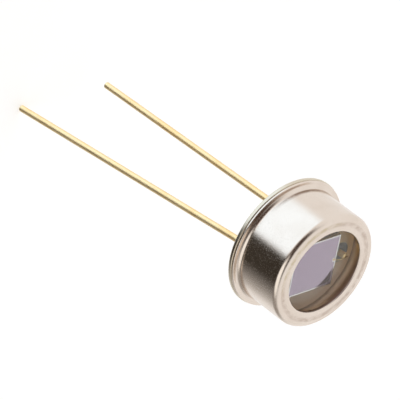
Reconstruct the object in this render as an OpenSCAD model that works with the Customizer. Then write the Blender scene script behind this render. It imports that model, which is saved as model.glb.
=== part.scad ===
// Photodiode in a round metal can: a chip on a gold-plated header, under a cap with a glass window.
// Millimetres. The optical axis is +Z, the leads run along X, and the seating plane is z = 0.

/* [Header] */
// Diameter of the header's flange
flange_d = 9.15; // [9.1:0.05:9.6]
// Thickness of the header's flange
flange_t = 0.3; // [0.2:0.02:0.4]
// Rounding of the flange's lower edge
rim_edge_r = 0.12; // [0.05:0.01:0.14]
// Diameter of the raised platform that carries the chip
platform_d = 7.52; // [6.9:0.02:7.54]
// Height of the platform's top above the seating plane
platform_z = 2.25; // [2.1:0.05:2.25]
// Rounding of the platform's top edge
platform_edge_r = 0.08; // [0.05:0.01:0.3]

/* [Cap] */
// Outer diameter of the can
can_d = 8.15; // [8.05:0.05:8.3]
// Height of the can's front above the seating plane
can_h = 4.05; // [4.05:0.05:4.4]
// Thickness of the drawn sheet
sheet_t = 0.25; // [0.2:0.01:0.28]
// Diameter of the cap's flange, a little smaller than the header's
cap_flange_d = 9.06; // [8.9:0.01:9.09]
// Thickness of the cap's flange, which the weld has squeezed thinner than the sheet
cap_flange_t = 0.16; // [0.12:0.01:0.25]
// Outer rounding of the can's front corner
front_corner_r = 0.32; // [0.29:0.01:0.5]
// Outer fillet where the wall turns into the flange
flange_fillet_r = 0.28; // [0.1:0.01:0.3]
// Diameter of the opening in the front
opening_d = 5.9; // [5:0.1:6.4]

/* [Window] */
// Thickness of the glass
window_t = 0.75; // [0.5:0.05:0.8]
// Height of the meniscus by which the glass wets the wall
meniscus_h = 0.18; // [0.05:0.01:0.3]

/* [Leads] */
// Diameter of a lead
lead_d = 0.45; // [0.4:0.01:0.5]
// Distance between the two leads
lead_pitch = 5.08; // [4.9:0.02:5.2]
// Length of the cathode lead below its bend
cathode_run = 21.4; // [10:0.1:25]
// Length of the anode lead below its bend
anode_run = 20; // [10:0.1:25]
// Angle by which the cathode lead is bent from the axis
cathode_lean = 5.1; // [0.5:0.1:6]
// Angle by which the anode lead is bent from the axis
anode_lean = 1.4; // [0.5:0.1:6]
// Direction of both bends, seen from the front, measured from +X
lean_heading = 230.8; // [180:0.1:270]
// Height of the anode lead's post above the seating plane
post_z = 2.85; // [2.7:0.01:2.86]
// Diameter of the glass seal round the anode lead
bead_d = 1.45; // [1.2:0.05:1.45]
// Diameter of the weld at the cathode lead's foot
weld_d = 0.95; // [0.9:0.01:1.1]

/* [Chip] */
// Side of the square chip
chip_w = 3.8; // [2.6:0.1:3.8]
// Thickness of the chip
chip_t = 0.5; // [0.3:0.01:0.5]
// Thickness of the conductive bed under the chip
bed_t = 0.05; // [0.02:0.01:0.05]
// Shift of the chip along X, away from the post
chip_x = -0.18; // [-0.3:0.01:-0.12]
// Shift of the chip along Y
chip_y = 0.01; // [-0.2:0.01:0.2]
// Turn of the chip from the line of the leads
chip_turn = 0.8; // [-2:0.1:2]
// Width of the metal frame along the chip's edge
frame_w = 0.1; // [0.06:0.01:0.15]

/* [Bond wire] */
// Diameter of the bond wire
wire_d = 0.04; // [0.025:0.005:0.05]
// Rise of the wire's loop above the line between its ends
loop_rise = 0.08; // [0.05:0.01:0.1]

/* [Hidden] */
$fn = 96;

// header
edge_r = 0.05;
platform_foot_r = 0.15;
lead_x = lead_pitch / 2;
weld_seat_t = 0.1;
weld_h = 0.16;

// cap, as radii of the bent sheet
can_r = can_d / 2;
wall_r = can_r - sheet_t;
flange_top_z = flange_t + cap_flange_t;
bend_centre = [can_r + flange_fillet_r, flange_top_z + flange_fillet_r];
inner_bend_r = flange_fillet_r + cap_flange_t;
corner_centre = [can_r - front_corner_r, can_h - front_corner_r];
inner_corner_r = front_corner_r - sheet_t;

// window
window_top = can_h - sheet_t;
window_bottom = window_top - window_t;

// leads
bend_r = 0.8;
bend_z = -0.3;
tip_edge = 0.06;
post_edge = 0.08;
bead_dip = 0.07;

// chip
bed_margin = 0.03;
bed_corner_r = 0.2;
chip_z = platform_z + bed_t;
chip_top = chip_z + chip_t;
film_t = 0.02;
saw_edge = 0.03;
pad = [0.2, 0.3];
pad_x = chip_w / 2 - frame_w - pad[0] / 2;

// bond wire: the loop is one arc in the upright plane through its two ends
ball_d = 0.12;
ball_t = 0.03;
foot = [0.2, 0.07, 0.025];
pad_at = [
    chip_x + pad_x * cos(chip_turn),
    chip_y + pad_x * sin(chip_turn),
    chip_top + film_t
];
wire_start = pad_at + [0, 0, ball_t + wire_d / 4];
wire_end = [lead_x, 0, post_z + wire_d / 2];
wire_flat = norm([wire_end[0] - wire_start[0], wire_end[1] - wire_start[1]]);
wire_heading = atan2(wire_end[1] - wire_start[1], wire_end[0] - wire_start[0]);
wire_slope = atan2(wire_end[2] - wire_start[2], wire_flat);
wire_chord = norm(wire_end - wire_start);
loop_r = (wire_chord * wire_chord / 4 + loop_rise * loop_rise) / (2 * loop_rise);
loop_half_angle = asin(wire_chord / 2 / loop_r);

GOLD = [0.83, 0.68, 0.36];
LEAD_GOLD = [0.87, 0.71, 0.36];
NICKEL = [0.80, 0.77, 0.73];
GLASS = [0.85, 0.90, 0.90, 0.35];
SEAL_GLASS = [0.24, 0.27, 0.30];
SILICON = [0.52, 0.47, 0.56];
SILVER_BED = [0.62, 0.60, 0.57];
ALUMINIUM = [0.86, 0.85, 0.86];

// A box from one corner to the opposite one, flat
module span(from, to) {
    translate(from) square([to[0] - from[0], to[1] - from[1]]);
}

// What a rounding of radius r takes off a convex corner; side points from the corner into the body
module corner_waste(corner, side, r) {
    difference() {
        translate([corner[0] + min(0, side[0] * r), corner[1] + min(0, side[1] * r)]) square(r);
        translate([corner[0] + side[0] * r, corner[1] + side[1] * r]) circle(r);
    }
}

// Turned and stamped base: thin flange, raised platform with a soft edge, one drilled hole, one weld seat
module header() {
    platform_r = platform_d / 2;
    flange_r = flange_d / 2;
    color(GOLD) difference() {
        rotate_extrude() {
            difference() {
                span([0, 0], [flange_r, flange_t]);
                corner_waste([flange_r, 0], [-1, 1], rim_edge_r);
                corner_waste([flange_r, flange_t], [-1, -1], edge_r);
            }
            difference() {
                span([0, 0], [platform_r, platform_z]);
                corner_waste([platform_r, platform_z], [-1, -1], platform_edge_r);
            }
            corner_waste([platform_r, flange_t], [1, 1], platform_foot_r);
        }
        translate([lead_x, 0, -1]) cylinder(h = platform_z + 2, d = bead_d);
        translate([-lead_x, 0, -1]) cylinder(h = 1 + weld_seat_t, d = weld_d);
    }
}

// Glass seal with a dished meniscus at both ends, round the anode lead
module glass_bead() {
    bead_r = bead_d / 2;
    lead_r = lead_d / 2;
    gap = (bead_r - lead_r) / 2;
    dish_r = (gap * gap + bead_dip * bead_dip) / (2 * bead_dip);
    color(SEAL_GLASS) translate([lead_x, 0, 0]) rotate_extrude() difference() {
        span([lead_r, 0], [bead_r, platform_z]);
        translate([lead_r + gap, platform_z - bead_dip + dish_r]) circle(dish_r);
        translate([lead_r + gap, bead_dip - dish_r]) circle(dish_r);
    }
}

// The stretch of a lead from its top down through one small bend to the cut tip
module lead(x, top, lean, run) {
    lead_r = lead_d / 2;
    translate([x, 0, 0]) rotate([0, 0, lean_heading]) {
        translate([0, 0, bend_z]) rotate_extrude() difference() {
            span([0, 0], [lead_r, top - bend_z]);
            corner_waste([lead_r, top - bend_z], [-1, -1], post_edge);
        }
        translate([bend_r, 0, bend_z]) rotate([90, 0, 0]) {
            rotate([0, 0, 180]) rotate_extrude(angle = lean) translate([bend_r, 0]) circle(lead_r);
            rotate([0, 0, lean]) translate([-bend_r, 0, 0]) rotate([90, 0, 0]) rotate_extrude() difference() {
                span([0, 0], [lead_r, run]);
                corner_waste([lead_r, run], [-1, -1], tip_edge);
            }
        }
    }
}

// Lead that passes through the bead and ends in the bond post
module anode_lead() {
    color(LEAD_GOLD) lead(lead_x, post_z, anode_lean, anode_run);
}

// Lead on the underside of the header, with the cone of its weld sunk a little into the base
module cathode_lead() {
    color(LEAD_GOLD) {
        lead(-lead_x, weld_seat_t, cathode_lean, cathode_run);
        translate([-lead_x, 0, 0]) cylinder(h = weld_seat_t, d = weld_d);
        translate([-lead_x, 0, -weld_h]) cylinder(h = weld_h, d1 = lead_d, d2 = weld_d);
    }
}

// Places a piece with the chip: shifted and turned on the platform
module on_platform(z) {
    translate([chip_x, chip_y, z]) rotate([0, 0, chip_turn]) children();
}

// Thin bed of conductive adhesive, squeezed out a little all round
module die_attach() {
    half = chip_w / 2 + bed_margin - bed_corner_r;
    side = 2 * half;
    color(SILVER_BED) on_platform(platform_z) {
        for (sx = [-1, 1], sy = [-1, 1])
            translate([sx * half, sy * half, 0]) cylinder(h = bed_t, r = bed_corner_r);
        translate([-half, -half - bed_corner_r, 0]) cube([side, side + 2 * bed_corner_r, bed_t]);
        translate([-half - bed_corner_r, -half, 0]) cube([side + 2 * bed_corner_r, side, bed_t]);
    }
}

// Sawn chip, with a shallow step round the top where the saw ran first
module silicon_chip() {
    color(SILICON) on_platform(chip_z) {
        translate([-chip_w / 2, -chip_w / 2, 0]) cube([chip_w, chip_w, chip_t / 2]);
        translate([-chip_w / 2 + saw_edge, -chip_w / 2 + saw_edge, 0])
            cube([chip_w - 2 * saw_edge, chip_w - 2 * saw_edge, chip_t]);
    }
}

// Metal film along the chip's edge, with the bond pad in the middle of the side next to the post
module contact_frame() {
    outer = chip_w - 2 * saw_edge;
    inner = outer - 2 * frame_w;
    color(ALUMINIUM) on_platform(chip_top) linear_extrude(film_t) {
        difference() {
            square(outer, center = true);
            square(inner, center = true);
        }
        translate([pad_x, 0]) square([pad[0] + 2 * saw_edge, pad[1]], center = true);
    }
}

// Gold wire: flattened ball on the pad, one arched loop, and a pressed foot on the post
module bond_wire() {
    color(LEAD_GOLD) {
        translate(pad_at) rotate_extrude() difference() {
            span([0, 0], [ball_d / 2, ball_t]);
            corner_waste([ball_d / 2, ball_t], [-1, -1], ball_t / 2);
        }
        translate((wire_start + wire_end) / 2) rotate([0, 0, wire_heading]) rotate([90, 0, 0])
            rotate([0, 0, wire_slope]) translate([0, loop_rise - loop_r])
            rotate([0, 0, 90 - loop_half_angle]) rotate_extrude(angle = 2 * loop_half_angle)
            translate([loop_r, 0]) circle(wire_d / 2);
        translate([lead_x, 0, post_z]) rotate([0, 0, wire_heading])
            translate([-foot[0] / 4, -foot[1] / 2, 0]) cube(foot);
    }
}

// The bend of the sheet between the wall and the front
module front_bend() {
    intersection() {
        translate(corner_centre) difference() {
            circle(front_corner_r);
            circle(inner_corner_r);
        }
        translate(corner_centre) square(front_corner_r);
    }
}

// Drawn cap: one sheet that runs from the welded flange up the wall and over to the punched opening
module cap() {
    cap_flange_r = cap_flange_d / 2;
    opening_r = opening_d / 2;
    color(NICKEL) rotate_extrude() {
        difference() {
            span([bend_centre[0], flange_t], [cap_flange_r, flange_top_z]);
            corner_waste([cap_flange_r, flange_top_z], [-1, -1], edge_r);
            corner_waste([cap_flange_r, flange_t], [-1, 1], edge_r);
        }
        difference() {
            span([wall_r, flange_t], bend_centre);
            translate(bend_centre) circle(flange_fillet_r);
            corner_waste([wall_r, flange_t], [1, 1], inner_bend_r);
        }
        span([wall_r, bend_centre[1]], [can_r, corner_centre[1]]);
        front_bend();
        difference() {
            span([opening_r, window_top], [corner_centre[0], can_h]);
            corner_waste([opening_r, can_h], [1, -1], edge_r);
        }
    }
}

// Flat glass fused against the front ring and the wall, with a meniscus below
module window() {
    color(GLASS) rotate_extrude() {
        difference() {
            span([0, window_bottom], [wall_r, window_top]);
            corner_waste([wall_r, window_top], [-1, -1], inner_corner_r);
        }
        corner_waste([wall_r, window_bottom], [-1, -1], meniscus_h);
    }
}

header();
glass_bead();
anode_lead();
cathode_lead();
die_attach();
silicon_chip();
contact_frame();
bond_wire();
cap();
window();
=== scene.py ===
from math import cos, pi, radians, sin, sqrt, tan

import bmesh
import bpy
from mathutils import Matrix, Vector


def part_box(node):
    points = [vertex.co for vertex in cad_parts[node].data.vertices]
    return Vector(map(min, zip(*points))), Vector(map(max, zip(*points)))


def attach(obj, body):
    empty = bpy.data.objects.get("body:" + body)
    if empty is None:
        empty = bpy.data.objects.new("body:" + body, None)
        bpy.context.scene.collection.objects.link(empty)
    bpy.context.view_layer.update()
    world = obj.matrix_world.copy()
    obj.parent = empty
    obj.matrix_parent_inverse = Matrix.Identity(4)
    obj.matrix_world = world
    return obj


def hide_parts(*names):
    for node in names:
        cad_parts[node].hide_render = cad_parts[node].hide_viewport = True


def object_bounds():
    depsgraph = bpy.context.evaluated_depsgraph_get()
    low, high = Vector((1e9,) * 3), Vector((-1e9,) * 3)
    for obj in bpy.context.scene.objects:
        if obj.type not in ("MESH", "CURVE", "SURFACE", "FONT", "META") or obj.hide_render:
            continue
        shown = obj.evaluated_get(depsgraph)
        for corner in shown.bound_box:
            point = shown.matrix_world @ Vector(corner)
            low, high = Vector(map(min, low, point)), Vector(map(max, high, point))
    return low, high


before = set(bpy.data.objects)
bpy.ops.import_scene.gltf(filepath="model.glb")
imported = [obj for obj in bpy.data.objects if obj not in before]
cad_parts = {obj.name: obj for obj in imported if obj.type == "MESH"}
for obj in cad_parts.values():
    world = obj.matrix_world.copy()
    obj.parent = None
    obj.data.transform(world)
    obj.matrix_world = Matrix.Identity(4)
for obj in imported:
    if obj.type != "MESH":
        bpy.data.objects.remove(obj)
cad_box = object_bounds()


# Header: the stamped base of the case, an iron-nickel alloy with satin gold plating. Its thin flange takes
# the weld of the cap, and its raised platform, where the plating is paler and softer, carries the chip.
# One hole takes the glass seal, and a shallow seat in the underside takes the weld of the other lead.
MM = 0.001
LEAD_X = 2.54 * MM
FLANGE_T = 0.3 * MM
BEAD_R = 0.725 * MM
WELD_R = 0.475 * MM
WELD_SEAT = 0.1 * MM
EDGE_R = 0.05 * MM
SEGMENTS = 192


class Value:
    """A node's output. Arithmetic on it adds Math nodes to its tree."""

    def __init__(self, tree, socket):
        self.tree = tree
        self.socket = socket

    def output(self, name):
        """Another output of the same node."""
        return Value(self.tree, self.socket.node.outputs[name])

    def maths(self, operation, first, second):
        return self.tree.node("ShaderNodeMath", {"operation": operation}, {0: first, 1: second})

    def __add__(self, other):
        return self.maths("ADD", self, other)

    def __sub__(self, other):
        return self.maths("SUBTRACT", self, other)

    def __rsub__(self, other):
        return self.maths("SUBTRACT", other, self)

    def __mul__(self, other):
        return self.maths("MULTIPLY", self, other)

    __radd__ = __add__
    __rmul__ = __mul__

    def either(self, other):
        """The larger of two masks."""
        return self.maths("MAXIMUM", self, other)


class Tree:
    """A node tree that is written as expressions."""

    # A Mix node has sockets for each kind of value. These are the numbers of those for colours.
    MIX_FACTOR = 0
    MIX_FIRST = 6
    MIX_SECOND = 7
    MIX_RESULT = 2

    def __init__(self, tree):
        self.tree = tree

    def node(self, kind, settings=None, sockets=None, output=0):
        """Adds one node: its settings first, then the values or links of its sockets."""
        made = self.tree.nodes.new(kind)
        for name, setting in (settings or {}).items():
            setattr(made, name, setting)
        for key, value in (sockets or {}).items():
            if isinstance(value, Value):
                self.tree.links.new(value.socket, made.inputs[key])
            else:
                made.inputs[key].default_value = value
        return Value(self, made.outputs[output]) if made.outputs else None

    def mix(self, mask, first, second):
        """One colour where the mask is 0, the other where it is 1."""
        first, second = [c if isinstance(c, Value) else (*c, 1.0) for c in (first, second)]
        sockets = {self.MIX_FACTOR: mask, self.MIX_FIRST: first, self.MIX_SECOND: second}
        return self.node("ShaderNodeMix", {"data_type": "RGBA"}, sockets, self.MIX_RESULT)

    def step(self, value, low, high, lowest=0.0, highest=1.0):
        """A soft step from lowest to highest while the value goes from low to high."""
        sockets = {"Value": value, "From Min": low, "From Max": high, "To Min": lowest, "To Max": highest}
        return self.node("ShaderNodeMapRange", {"interpolation_type": "SMOOTHSTEP"}, sockets)


class Finish(Tree):
    """A material over Object coordinates, in metres."""

    # Most of a noise lies between these two values.
    NOISE_LOW = 0.3
    NOISE_HIGH = 0.7

    def __init__(self, name):
        self.material = bpy.data.materials.new(name)
        self.material.use_nodes = True
        self.material.node_tree.nodes.clear()
        super().__init__(self.material.node_tree)
        self.place = self.node("ShaderNodeTexCoord", output="Object")
        self.x = self.node("ShaderNodeSeparateXYZ", sockets={0: self.place})
        self.y = self.x.output("Y")
        self.z = self.x.output("Z")

    def from_axis(self):
        """The distance from the Z axis."""
        without_z = {0: self.place, 1: (1.0, 1.0, 0.0)}
        flat = self.node("ShaderNodeVectorMath", {"operation": "MULTIPLY"}, without_z)
        return self.node("ShaderNodeVectorMath", {"operation": "LENGTH"}, {0: flat}, output="Value")

    def grain(self, size, detail, stretch=(1.0, 1.0, 1.0)):
        """Noise from 0 to 1 with spots of about the given size, drawn out by the stretch on each axis."""
        scale = tuple(1.0 / (size * s) for s in stretch)
        spots = self.node("ShaderNodeMapping", sockets={"Vector": self.place, "Scale": scale})
        return self.node("ShaderNodeTexNoise", sockets={"Vector": spots, "Scale": 1.0, "Detail": detail})

    def follow(self, noise, lowest, highest):
        """A number that goes from lowest to highest with a noise."""
        return self.step(noise, self.NOISE_LOW, self.NOISE_HIGH, lowest, highest)

    def relief(self, height, depth):
        """A normal for a relief of the given depth in metres."""
        return self.node("ShaderNodeBump", sockets={"Height": height, "Distance": depth})

    def coat(self, sockets):
        """Closes the material with one surface shader."""
        surface = self.node("ShaderNodeBsdfPrincipled", sockets=sockets)
        self.node("ShaderNodeOutputMaterial", sockets={"Surface": surface})
        return self.material


class Shape(Tree):
    """A Geometry Nodes tree with named inputs for its sizes."""

    def __init__(self, name, inputs):
        self.group = bpy.data.node_groups.new(name, "GeometryNodeTree")
        ports = self.group.interface
        ports.new_socket("Geometry", in_out="INPUT", socket_type="NodeSocketGeometry")
        self.ports = {
            label: ports.new_socket(label, in_out="INPUT", socket_type="NodeSocket" + kind).identifier
            for label, kind in {**inputs, "Material": "Material"}.items()
        }
        ports.new_socket("Geometry", in_out="OUTPUT", socket_type="NodeSocketGeometry")
        super().__init__(self.group)
        self.geometry = self.node("NodeGroupInput")

    def given(self, label):
        """One of the tree's named inputs."""
        return self.geometry.output(label)

    def point_value(self, name):
        """A value that the points of the piece's line carry."""
        return self.node("GeometryNodeInputNamedAttribute", {"data_type": "FLOAT"}, {"Name": name})

    def rounded_line(self, steps):
        """The piece's line as a curve. Its corners are rounded in as many steps as the named input says."""
        line = self.node("GeometryNodeMeshToCurve", sockets={"Mesh": self.geometry})
        rounding = {"Count": self.given(steps), "Radius": self.point_value("rounding"), "Limit Radius": True}
        return self.node("GeometryNodeFilletCurve", {"mode": "POLY"}, {"Curve": line, **rounding})

    def close(self, geometry):
        """Ends the tree in plain geometry with its material."""
        plain = self.node("GeometryNodeRealizeInstances", sockets={"Geometry": geometry})
        coated = {"Geometry": plain, "Material": self.given("Material")}
        dressed = self.node("GeometryNodeSetMaterial", sockets=coated)
        self.node("NodeGroupOutput", sockets={"Geometry": dressed})

    def put_on(self, thing, sizes):
        """Puts the tree on an object, with its sizes and material."""
        modifier = thing.modifiers.new(self.group.name, "NODES")
        modifier.node_group = self.group
        for label, size in sizes.items():
            modifier[self.ports[label]] = size


def line_piece(name, points, closed, **values):
    """An object of bare edges through the points, with named values on them, for a tree to build on."""
    links = [(i, i + 1) for i in range(len(points) - 1)]
    if closed:
        links.append((len(points) - 1, 0))
    mesh = bpy.data.meshes.new(name)
    mesh.from_pydata(points, links, [])
    for label, row in values.items():
        mesh.attributes.new(label, "FLOAT", "POINT").data.foreach_set("value", row)
    thing = bpy.data.objects.new(name, mesh)
    bpy.context.scene.collection.objects.link(thing)
    return thing


def built(thing):
    """The mesh of an object as its modifiers make it."""
    return bpy.data.meshes.new_from_object(thing.evaluated_get(bpy.context.evaluated_depsgraph_get()))


def settle(thing, sharp=radians(35), same_place=0.0001 * MM):
    """Turns the modifiers into one plain closed mesh, with its faces outwards and its flats shaded flat."""
    thing.data = built(thing)
    thing.modifiers.clear()
    shell = bmesh.new()
    shell.from_mesh(thing.data)
    bmesh.ops.remove_doubles(shell, verts=shell.verts, dist=same_place)
    bmesh.ops.recalc_face_normals(shell, faces=shell.faces)
    for face in shell.faces:
        face.smooth = True
    for edge in shell.edges:
        edge.smooth = edge.calc_face_angle(0.0) < sharp
    shell.to_mesh(thing.data)
    shell.free()
    flats = thing.modifiers.new("flats", "WEIGHTED_NORMAL")
    flats.keep_sharp = True
    thing.data = built(thing)
    thing.modifiers.clear()


def seen(*shades):
    """A colour as it is seen on a screen, 0 to 255, as the linear colour that shaders take."""
    parts = [shade / 255 for shade in shades]
    return tuple(p / 12.92 if p <= 0.04045 else ((p + 0.055) / 1.055) ** 2.4 for p in parts)


# The half section is rounded at its corners and swept round a circle about Z.
turning = Shape("turning", {"Segments": "Int", "Corner steps": "Int", "Sweep radius": "Float"})
sweep_radius = turning.given("Sweep radius")
inwards = turning.node("ShaderNodeCombineXYZ", sockets={"X": 0.0 - sweep_radius})
section = turning.node(
    "GeometryNodeTransform",
    sockets={
        "Geometry": turning.rounded_line("Corner steps"),
        "Translation": inwards,
        "Rotation": (pi / 2, 0.0, 0.0),
    },
)
ring = turning.node(
    "GeometryNodeCurvePrimitiveCircle",
    sockets={"Resolution": turning.given("Segments"), "Radius": sweep_radius},
)
turned_wall = turning.node(
    "GeometryNodeCurveToMesh",
    sockets={"Curve": ring, "Profile Curve": section, "Scale": 1.0},
)
turning.close(turned_wall)


def turned(name, corners, material, segments=SEGMENTS, corner_steps=8, sweep_r=1.0 * MM):
    """A round piece from the corners of its half section, each with radius, height and rounding."""
    on_axis = corners[0][0] == 0.0
    points = [(r, 0.0, z) for r, z, _ in corners]
    thing = line_piece(name, points, not on_axis, rounding=[rounding for _, _, rounding in corners])
    turning.put_on(
        thing,
        {"Segments": segments, "Corner steps": corner_steps, "Sweep radius": sweep_r, "Material": material},
    )
    return thing


# Two round bits are taken out of the header, one after the other.
bit_sides = 96
bit_sizes = {"radius": "Float", "depth": "Float", "place": "Vector"}
drilling = Shape(
    "drilling",
    {bit + size: kind for bit in ("Hole ", "Seat ") for size, kind in bit_sizes.items()},
)
drilled = drilling.geometry
for bit in ("Hole ", "Seat "):
    round_bit = drilling.node(
        "GeometryNodeMeshCylinder",
        sockets={
            "Vertices": bit_sides,
            "Radius": drilling.given(bit + "radius"),
            "Depth": drilling.given(bit + "depth"),
        },
    )
    placed_bit = drilling.node(
        "GeometryNodeTransform",
        sockets={"Geometry": round_bit, "Translation": drilling.given(bit + "place")},
    )
    drilled = drilling.node(
        "GeometryNodeMeshBoolean",
        {"operation": "DIFFERENCE", "solver": "EXACT"},
        {"Mesh 1": drilled, "Mesh 2": placed_bit},
    )
drilling.close(drilled)

gold_fresh = seen(214, 186, 132)
gold_worn = seen(196, 164, 110)
gold_welded = seen(216, 205, 186)
gold_pale = seen(255, 226, 200)
gold_by_post = seen(255, 220, 172)
welded_band = (4.0 * MM, 4.5 * MM)
platform_band = (1.2 * MM, 1.6 * MM)
post_side = (0.5 * MM, 3.0 * MM)
gold = Finish("satin_gold")
wear = gold.grain(0.7 * MM, 3.0)
fine = gold.grain(0.03 * MM, 1.0)
on_top = gold.step(gold.z, *platform_band)
plated = gold.mix(gold.step(wear, 0.35, 0.7), gold_fresh, gold_worn)
polished = gold.mix(gold.step(gold.x + gold.y, *post_side), gold_pale, gold_by_post)
plated = gold.mix(on_top, plated, polished)
header_gold = gold.coat({
    "Base Color": gold.mix(gold.step(gold.from_axis(), *welded_band), plated, gold_welded),
    "Metallic": 1.0 - 0.6 * on_top,
    "Roughness": gold.follow(fine, 0.24, 0.36) + 0.06 * on_top,
    "Normal": gold.relief(fine, 0.002 * MM),
})

flange_r, _, platform_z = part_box("header")[1]
platform_r = 3.76 * MM
platform_edge_r = 0.08 * MM
platform_foot_r = 0.15 * MM
rim_edge_r = 0.12 * MM
hole_depth = 8.0 * MM
header = turned(
    "header_base",
    [
        (0.0, platform_z, 0.0),
        (platform_r, platform_z, platform_edge_r),
        (platform_r, FLANGE_T, platform_foot_r),
        (flange_r, FLANGE_T, EDGE_R),
        (flange_r, 0.0, rim_edge_r),
        (0.0, 0.0, 0.0),
    ],
    header_gold,
)
settle(header)
drilling.put_on(
    header,
    {
        "Hole radius": BEAD_R,
        "Hole depth": hole_depth,
        "Hole place": (LEAD_X, 0.0, 0.0),
        "Seat radius": WELD_R,
        "Seat depth": 2 * WELD_SEAT,
        "Seat place": (-LEAD_X, 0.0, 0.0),
        "Material": header_gold,
    },
)
settle(header)
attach(header, "root")
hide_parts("header")


# Glass bead: dark sealing glass, melted between the hole of the header and the anode lead. Surface tension
# leaves a shallow dish at both ends.
LEAD_R = 0.225 * MM
bead_dip = 0.07 * MM
bead_gap = (BEAD_R - LEAD_R) / 2
dish_r = (bead_gap ** 2 + bead_dip ** 2) / (2 * bead_dip)
dish_steps = 12
bead_segments = 96


def dish(end, side):
    """The dished end of the bead, from the hole to the lead, as section corners."""
    rows = []
    for step in range(dish_steps + 1):
        across = bead_gap * (1 - 2 * step / dish_steps)
        dip = sqrt(dish_r ** 2 - across ** 2) - (dish_r - bead_dip)
        rows.append((LEAD_R + bead_gap + across, end - side * dip, 0.0))
    return rows


seal_dark = seen(124, 124, 124)
seal_light = seen(150, 148, 144)
seal = Finish("sealing_glass")
swirl = seal.grain(0.25 * MM, 3.0)
seal_glass = seal.coat({
    "Base Color": seal.mix(swirl, seal_dark, seal_light),
    "Roughness": seal.follow(swirl, 0.08, 0.2),
    "Normal": seal.relief(swirl, 0.004 * MM),
})
bead = turned("glass_seal", dish(platform_z, 1) + dish(0.0, -1)[::-1], seal_glass, bead_segments)
settle(bead)
bead.data.transform(Matrix.Translation((LEAD_X, 0.0, 0.0)))
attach(bead, "root")
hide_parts("glass_bead")


# Leads: round iron-nickel wire with gold plating that handling has dulled, cropped at the tips and bent a
# little. The anode lead goes up through the bead and ends in the bond post, which is still bright. The
# cathode lead is welded to the underside of the header, with a small cone of weld.
lean_heading = radians(230.8)
anode_lean = radians(1.4)
anode_run = 20.0 * MM
cathode_lean = radians(5.1)
cathode_run = 21.4 * MM
bend_r = 0.8 * MM
bend_z = -0.3 * MM
bend_steps = 6
lead_sides = 32
tip_edge = 0.06 * MM
post_edge = 0.08 * MM
weld_h = 0.16 * MM
weld_steps = 6

drawing = Shape("wire_drawing", {"Sides": "Int", "Bend steps": "Int"})
die = drawing.node(
    "GeometryNodeCurvePrimitiveCircle",
    sockets={"Resolution": drawing.given("Sides"), "Radius": 1.0},
)
drawn = drawing.node(
    "GeometryNodeCurveToMesh",
    sockets={
        "Curve": drawing.rounded_line("Bend steps"),
        "Profile Curve": die,
        "Scale": drawing.point_value("girth"),
        "Fill Caps": True,
    },
)
drawing.close(drawn)


def eased(edge, steps=5):
    """Distances from a cut end, and the wire's radius there, where the edge is rounded."""
    rows = []
    for step in range(steps + 1):
        turn = pi / 2 * step / steps
        rows.append((edge * (1 - cos(turn)), LEAD_R - edge * (1 - sin(turn))))
    return rows


def lead(name, x, top_rows, lean, run, material):
    """A lead from its top rows of height and radius, through one bend, to the rounded tip."""
    tilt = Vector((sin(lean) * cos(lean_heading), sin(lean) * sin(lean_heading), -cos(lean)))
    reach = bend_r * tan(lean / 2)
    corner = Vector((x, 0.0, bend_z - reach))
    tip = corner + (reach + run) * tilt
    points = [(x, 0.0, z) for z, _ in top_rows]
    girths = [girth for _, girth in top_rows]
    points.append(corner)
    girths.append(LEAD_R)
    bends = [0.0] * len(top_rows) + [bend_r]
    for back, girth in reversed(eased(tip_edge)):
        points.append(tip - back * tilt)
        girths.append(girth)
        bends.append(0.0)
    thing = line_piece(name, points, False, girth=girths, rounding=bends)
    drawing.put_on(thing, {"Sides": lead_sides, "Bend steps": bend_steps, "Material": material})
    settle(thing)
    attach(thing, "root")
    return thing


wire_clean = seen(255, 229, 178)
wire_handled = seen(254, 221, 162)
post_bright = seen(255, 222, 160)
post_foot = (platform_z, platform_z + 0.1 * MM)
bright = Finish("bright_gold")
handled = bright.step(bright.grain(1.5 * MM, 3.0), 0.4, 0.7)
drawn_lines = bright.grain(0.04 * MM, 1.0, stretch=(1.0, 1.0, 30.0))
on_post = bright.step(bright.z, *post_foot)
lead_gold = bright.coat({
    "Base Color": bright.mix(on_post, bright.mix(handled, wire_clean, wire_handled), post_bright),
    "Metallic": 0.9 - 0.3 * on_post,
    "Roughness": bright.follow(drawn_lines, 0.42, 0.5) - 0.15 * on_post,
    "Normal": bright.relief(drawn_lines, 0.0015 * MM),
})
post_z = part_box("anode_lead")[1][2]
post_rows = [(post_z - down, girth) for down, girth in eased(post_edge)]
anode = lead("anode_wire", LEAD_X, post_rows, anode_lean, anode_run, lead_gold)
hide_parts("anode_lead")

weld_rows = [(WELD_SEAT, WELD_R), (0.0, WELD_R)]
for step in range(1, weld_steps + 1):
    part = step / weld_steps
    weld_rows.append((-weld_h * part, LEAD_R + (WELD_R - LEAD_R) * (1 - part)))
cathode = lead("cathode_wire", -LEAD_X, weld_rows, cathode_lean, cathode_run, lead_gold)
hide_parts("cathode_lead")


# Die attach: silver-filled adhesive under the chip, squeezed out a little all round. It holds the chip and
# leads its current into the header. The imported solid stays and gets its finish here.
bed_dark = seen(122, 118, 112)
bed_light = seen(186, 182, 174)
bed = Finish("silver_adhesive")
flakes = bed.grain(0.03 * MM, 2.0)
silver_bed = bed.coat({
    "Base Color": bed.mix(flakes, bed_dark, bed_light),
    "Metallic": 0.6,
    "Roughness": bed.follow(flakes, 0.45, 0.65),
    "Normal": bed.relief(flakes, 0.006 * MM),
})


def dress(node, material):
    """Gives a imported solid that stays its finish."""
    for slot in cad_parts[node].material_slots:
        slot.material = material


dress("die_attach", silver_bed)


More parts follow.
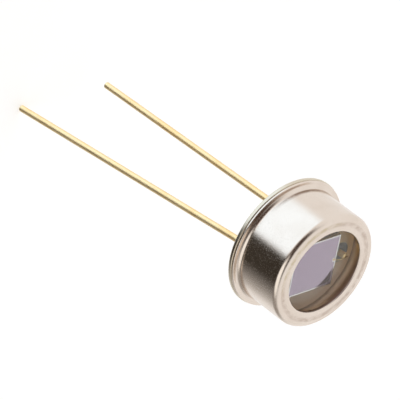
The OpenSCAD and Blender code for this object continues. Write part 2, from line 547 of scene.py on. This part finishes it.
# Chip: a sawn square of polished silicon with a lavender anti-reflection film on its face, glued to the
# platform. The saw leaves its sides grey and matt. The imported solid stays.
saw_dark = seen(182, 178, 178)
saw_light = seen(206, 202, 202)
film_dark = seen(166, 148, 165)
film_light = seen(172, 154, 171)
chip_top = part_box("silicon_chip")[1][2]
film_skin = (chip_top - 0.01 * MM, chip_top - 0.005 * MM)
chip = Finish("filmed_silicon")
film = chip.step(chip.z, *film_skin)
clouds = chip.grain(1.2 * MM, 2.0)
sawn = chip.grain(0.02 * MM, 2.0, stretch=(1.0, 1.0, 0.2))
silicon = chip.coat({
    "Base Color": chip.mix(
        film,
        chip.mix(sawn, saw_dark, saw_light),
        chip.mix(clouds, film_dark, film_light),
    ),
    "Metallic": 1.0,
    "Roughness": chip.step(film, 0.0, 1.0, 0.4, 0.08),
})
dress("silicon_chip", silicon)


# Contact frame: a film of bright metal along the edge of the chip, laid down as vapour and etched, with the
# bond pad on the side of the post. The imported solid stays.
contact_light = seen(226, 220, 222)
contact_dark = seen(204, 198, 200)
contact = Finish("contact_film")
etched = contact.grain(0.05 * MM, 2.0)
contact_metal = contact.coat({
    "Base Color": contact.mix(etched, contact_light, contact_dark),
    "Metallic": 1.0,
    "Roughness": contact.follow(etched, 0.08, 0.14),
})
dress("contact_frame", contact_metal)


# Bond wire: thin gold wire, bonded with a ball to the pad of the chip and pressed flat on the post. The
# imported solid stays.
bond_light = seen(240, 206, 130)
bond_dark = seen(222, 184, 104)
wire = Finish("bond_gold")
pulled = wire.grain(0.02 * MM, 1.0)
wire_gold = wire.coat({
    "Base Color": wire.mix(pulled, bond_light, bond_dark),
    "Metallic": 1.0,
    "Roughness": wire.follow(pulled, 0.18, 0.3),
})
dress("bond_wire", wire_gold)


# Cap: drawn from one steel sheet, plated with satin nickel and welded to the header by its flange. The round
# opening is punched in its front. A brownish ring marks the front. A painted shade darkens the foot of the
# wall towards +X+Y. Inside, near the glass and on the punched edge, a painted shade darkens the nickel to
# brown, less on the -Y side, and towards +X+Y it is a painted golden glint instead.
SHEET_T = 0.25 * MM
cap_flange_r, _, front_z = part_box("cap")[1]
can_r = 4.075 * MM
opening_r = 2.95 * MM
corner_r = 0.32 * MM
fillet_r = 0.28 * MM
lip_t = 0.16 * MM
flange_top = FLANGE_T + lip_t

nickel_light = seen(228, 215, 203)
nickel_dull = seen(223, 209, 196)
ring_brown = seen(194, 176, 163)
ring_olive = seen(196, 180, 152)
# Painted shade for the foot of the wall.
foot_shade_brown = seen(150, 130, 116)
inner_pale = seen(255, 236, 218)
# Painted shade and painted golden glint for the inside near the glass.
painted_shade_brown = seen(168, 142, 126)
painted_glint_gold = seen(236, 202, 152)
front_skin = (front_z - 0.1 * MM, front_z - 0.02 * MM)
ring_in = (3.22 * MM, 3.45 * MM)
ring_out = (3.55 * MM, 3.7 * MM)
olive_side = (2.0 * MM, 4.5 * MM)
inner_skin = (0.6 * SHEET_T, 0.8 * SHEET_T)
punched_skin = (opening_r + 0.03 * MM, opening_r)
shade_foot = (flange_top + 0.16 * MM, flange_top + 0.28 * MM)
shade_top = (flange_top + 0.32 * MM, flange_top + 0.6 * MM)
shade_skin = (can_r - 0.1 * MM, can_r - 0.05 * MM)
shade_side = (0.5 * MM, 4.0 * MM)
shade_radii = (3.6 * MM, 3.75 * MM)
shade_heights = (2.35 * MM, 2.85 * MM)
shade_fade = (-3.75 * MM, -3.1 * MM)
glint_side = (2.5 * MM, 4.8 * MM)

nickel = Finish("satin_nickel")
cloudy = nickel.step(nickel.grain(1.6 * MM, 2.0), 0.3, 0.75)
mottle = nickel.grain(0.45 * MM, 3.0)
speckle = nickel.grain(0.07 * MM, 2.0)
grit = nickel.step(nickel.grain(0.05 * MM, 1.0), 0.6, 0.74)
axis_gap = nickel.from_axis()
post_way = nickel.x + nickel.y

on_front = nickel.step(nickel.z, *front_skin)
within = nickel.step(axis_gap, *[can_r - depth for depth in inner_skin])
within = within * nickel.step(nickel.z, *[front_z - depth for depth in inner_skin])
punched = nickel.step(axis_gap, *punched_skin) * (1 - on_front)
inside = within.either(punched)

plating = nickel.mix(cloudy, nickel_light, nickel_dull)
ring_mark = nickel.step(axis_gap, *ring_in) * (1 - nickel.step(axis_gap, *ring_out)) * on_front
ring_mark = ring_mark * nickel.step(mottle, 0.35, 0.65, 0.25, 0.8)
ring_colour = nickel.mix(nickel.step(nickel.y - nickel.x, *olive_side), ring_brown, ring_olive)
plating = nickel.mix(ring_mark, plating, ring_colour)
# Painted shade: a brown band along the foot of the outer wall, towards +X+Y, made uneven by the mottle.
foot_shade = nickel.step(nickel.z, *shade_foot) * (1 - nickel.step(nickel.z, *shade_top))
foot_shade = foot_shade * nickel.step(axis_gap, *shade_skin) * nickel.step(post_way, *shade_side)
foot_shade = foot_shade * nickel.step(mottle, 0.3, 0.6, 0.6, 1.0)
plating = nickel.mix(foot_shade, plating, foot_shade_brown)

# Painted shade inside the wall near the glass and on the punched edge, weaker on the -Y side.
shaded_inside = nickel.step(axis_gap, *shade_radii) * nickel.step(nickel.z, *shade_heights)
shaded_inside = shaded_inside * nickel.step(nickel.y, *shade_fade, 0.1, 1.0)
shaded_inside = shaded_inside.either(punched)
# Towards +X+Y the painted shade turns into a painted golden glint.
shade_and_glint = nickel.mix(nickel.step(post_way, *glint_side), painted_shade_brown, painted_glint_gold)
cap_nickel = nickel.coat({
    "Base Color": nickel.mix(inside, plating, nickel.mix(shaded_inside, inner_pale, shade_and_glint)),
    "Metallic": 1.0 - 0.3 * inside * (1 - shaded_inside),
    "Roughness": nickel.follow(speckle, 0.14, 0.22) + 0.3 * grit * (1 - inside) + 0.2 * inside,
    "Normal": nickel.relief(speckle, 0.003 * MM),
})
inner_r = can_r - SHEET_T
cap = turned(
    "nickel_cap",
    [
        (opening_r, front_z, EDGE_R),
        (can_r, front_z, corner_r),
        (can_r, flange_top, fillet_r),
        (cap_flange_r, flange_top, EDGE_R),
        (cap_flange_r, FLANGE_T, EDGE_R),
        (inner_r, FLANGE_T, fillet_r + lip_t),
        (inner_r, front_z - SHEET_T, corner_r - SHEET_T),
        (opening_r, front_z - SHEET_T, 0.0),
    ],
    cap_nickel,
)
settle(cap)
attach(cap, "root")
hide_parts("cap")


# Window: flat clear glass, melted against the front and the wall of the cap, which it wets with a meniscus.
# Where it is fused to the metal, its skin runs a little way into the sheet.
window_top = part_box("window")[1][2]
window_t = 0.75 * MM
window_bottom = window_top - window_t
meniscus = 0.18 * MM
fused = 0.02 * MM
glass_clear = seen(250, 252, 250)
glass_green = seen(246, 250, 248)
weak_mirror = (0.2, 0.16, 0.12, 1.0)
glass = Finish("clear_glass")
ripple = glass.grain(1.5 * MM, 1.0)
window_glass = glass.coat({
    "Base Color": glass.mix(ripple, glass_clear, glass_green),
    "Roughness": 0.0,
    "IOR": 1.5,
    "Transmission Weight": 1.0,
    "Specular Tint": weak_mirror,
    "Normal": glass.relief(ripple, 0.001 * MM),
})
window = turned(
    "window_pane",
    [
        (0.0, window_top, 0.0),
        (opening_r + fused, window_top, 0.0),
        (opening_r + fused, window_top + fused, 0.0),
        (inner_r + fused, window_top + fused, 0.0),
        (inner_r + fused, window_bottom - meniscus, 0.0),
        (inner_r, window_bottom - meniscus, 0.0),
        (inner_r, window_bottom, meniscus),
        (0.0, window_bottom, 0.0),
    ],
    window_glass,
)
settle(window)
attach(window, "root")
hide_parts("window")


# Floor: a plain white sheet under the tips of the leads. It is white to the camera, keeps the shadow of the
# part, and is clear from below.
floor_half = 600 * MM
floor_gap = 0.02 * MM
floor_z = cad_box[0][2] - floor_gap
paper_grey = (0.86, 0.86, 0.86)
paper_white = (0.88, 0.88, 0.88)
paper_lift = 0.42
white = (1.0, 1.0, 1.0)


def looked_at(tree):
    """1 for the rays that the camera sends out, straight or through the glass, and 0 for the rest."""
    rays = tree.node("ShaderNodeLightPath", output="Is Camera Ray")
    return rays.either(rays.output("Is Transmission Ray"))


floor_mesh = bpy.data.meshes.new("floor")
floor_mesh.from_pydata(
    [(x * floor_half, y * floor_half, floor_z) for x, y in ((-1, -1), (1, -1), (1, 1), (-1, 1))],
    [],
    [(0, 1, 2, 3)],
)
floor = bpy.data.objects.new("floor", floor_mesh)
bpy.context.scene.collection.objects.link(floor)
paper = Finish("white_paper")
fibres = paper.grain(2.0 * MM, 2.0)
sheet = paper.node("ShaderNodeBsdfDiffuse", sockets={"Color": paper.mix(fibres, paper_grey, paper_white)})
lift = paper.node(
    "ShaderNodeEmission",
    sockets={"Color": (*white, 1.0), "Strength": looked_at(paper) * paper_lift},
)
lit = paper.node("ShaderNodeAddShader", sockets={0: sheet, 1: lift})
clear = paper.node("ShaderNodeBsdfTransparent")
behind = paper.node("ShaderNodeNewGeometry", output="Backfacing")
one_sided = paper.node("ShaderNodeMixShader", sockets={0: behind, 1: lit, 2: clear})
paper.node("ShaderNodeOutputMaterial", sockets={"Surface": one_sided})
floor_mesh.materials.append(paper.material)
floor.visible_glossy = False


# Studio: soft light from white walls all round, as the metal mirrors it. A large soft box stands above on
# the left, and the paper in front of the part is bright. The dark room shows on the left and round the
# camera, and the part's own shade below it. The camera itself sees white.
view_azimuth = radians(230.9)
view_elevation = radians(36.08)
view_roll = radians(127.45)
to_camera = Vector((
    sin(view_azimuth) * cos(view_elevation),
    -cos(view_azimuth) * cos(view_elevation),
    sin(view_elevation),
))
level_right = Vector((0.0, 0.0, 1.0)).cross(to_camera).normalized()
level = Matrix((level_right, to_camera.cross(level_right), to_camera)).transposed()
camera_turn = level.to_4x4() @ Matrix.Rotation(view_roll, 4, "Z")

world = bpy.data.worlds.new("studio")
world.use_nodes = True
world.node_tree.nodes.clear()
studio = Tree(world.node_tree)
direction = studio.node("ShaderNodeTexCoord", output="Generated")


def along(right, up, near):
    """How far each direction points the given way, from -1 to 1. The way is as the camera sees it."""
    way = camera_turn.to_3x3() @ Vector((right, up, near)).normalized()
    sockets = {0: direction, 1: tuple(way)}
    return studio.node("ShaderNodeVectorMath", {"operation": "DOT_PRODUCT"}, sockets, output="Value")


def patch(base, colour, right, up, near, outer, inner):
    """The light with a soft round patch the given way, which fades from its inner to its outer angle.
    The angles are in degrees."""
    mask = studio.step(along(right, up, near), cos(radians(outer)), cos(radians(inner)))
    return studio.mix(mask, base, colour)


soft_box = (1.27, 1.45, 1.62)
front_paper = (1.22, 1.22, 1.2)
under_part = (0.38, 0.36, 0.34)
room_dark = (0.045, 0.038, 0.03)
round_camera = (0.09, 0.06, 0.05)
upwards = along(right=0.14, up=0.95, near=0.27)
room = (1 - studio.step(upwards, 0.18, 0.36)) * studio.step(upwards, -1.0, -0.4)
room = room * studio.step(along(right=-0.57, up=-0.1, near=0.8), -0.35, 0.35)
light = patch(white, soft_box, right=-0.5, up=0.8, near=0.2, outer=45, inner=30)
light = patch(light, under_part, right=-0.45, up=-0.88, near=-0.15, outer=50, inner=15)
light = studio.mix(room, light, room_dark)
light = patch(light, round_camera, right=0.2, up=-0.1, near=0.97, outer=46, inner=20)
light = patch(light, front_paper, right=-0.37, up=-0.65, near=0.66, outer=42, inner=20)
surroundings = studio.mix(looked_at(studio), light, white)
sky = studio.node("ShaderNodeBackground", sockets={"Color": surroundings})
studio.node("ShaderNodeOutputWorld", sockets={"Surface": sky})
bpy.context.scene.world = world
bpy.context.scene.view_settings.view_transform = "Standard"


# Camera: a long lens from above the front, turned so that the leads point to the upper left.
camera_distance = 300 * MM
camera_aim = Vector((-4.0790, 1.8162, -3.9198)) * MM
lens_data = bpy.data.cameras.new("camera")
lens_data.sensor_width = 36.0
lens_data.lens = 428.3
lens_data.clip_start = 0.01
lens_data.clip_end = 10.0
camera = bpy.data.objects.new("camera", lens_data)
bpy.context.scene.collection.objects.link(camera)
camera.matrix_world = Matrix.Translation(camera_aim + camera_distance * to_camera) @ camera_turn
bpy.context.scene.camera = camera
